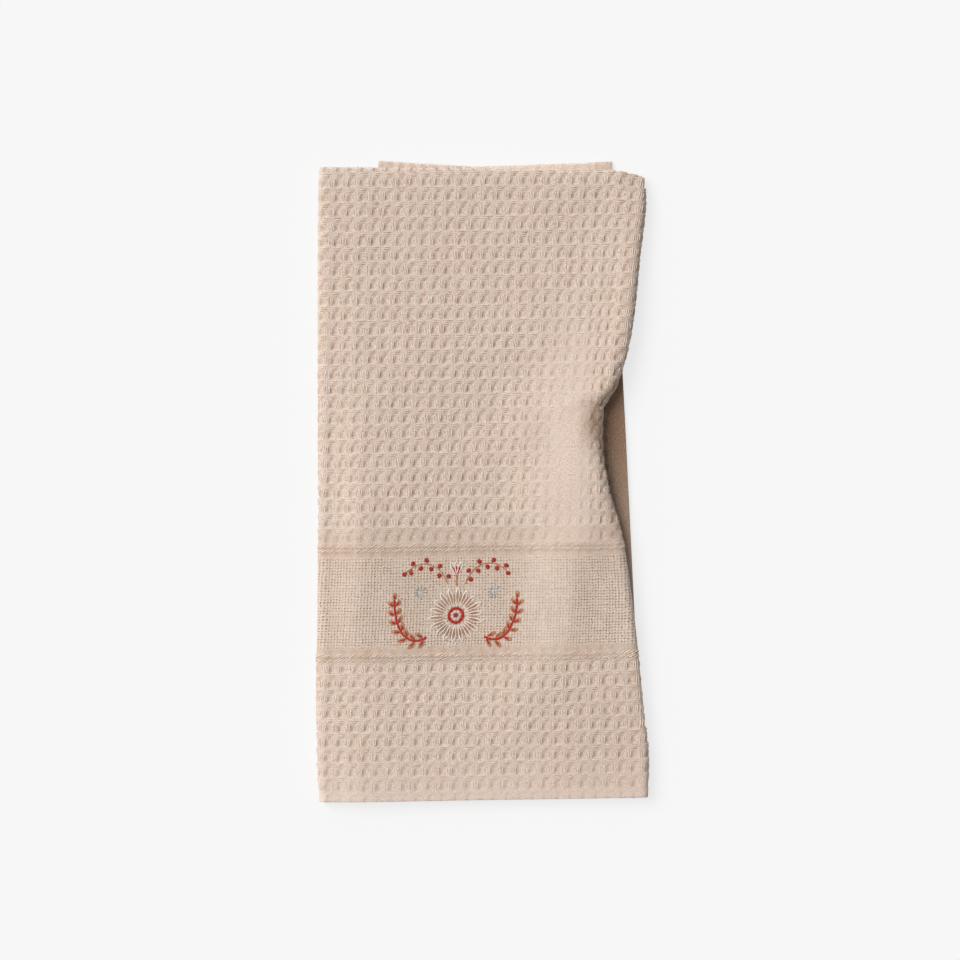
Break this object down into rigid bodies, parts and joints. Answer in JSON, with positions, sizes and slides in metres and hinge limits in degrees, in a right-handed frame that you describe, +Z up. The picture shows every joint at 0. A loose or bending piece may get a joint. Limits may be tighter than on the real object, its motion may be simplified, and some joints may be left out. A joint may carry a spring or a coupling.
{
  "type": "kitchen towel",
  "caption": "Waffle-woven cotton kitchen towel with a plain woven band, folded in half and then in thirds, lying flat with one fold pushed in.",
  "frame": {"origin": "centre of the folded towel's box, on the surface that it lies on", "axes": "+Y along the folded towel towards the fold of its halves, +X to the right across it, +Z up"},
  "size_m": [0.1846, 0.356, 0.0195],
  "materials": {
    "waffle_cotton": "soft matt waffle-woven cotton in pale rose beige",
    "embroidery_thread": "slightly glossy stranded cotton in brick red, tan, ivory and pale grey"
  },
  "bodies": {
    "root": {"towel": "waffle_cotton"}
  },
  "joints": []
}
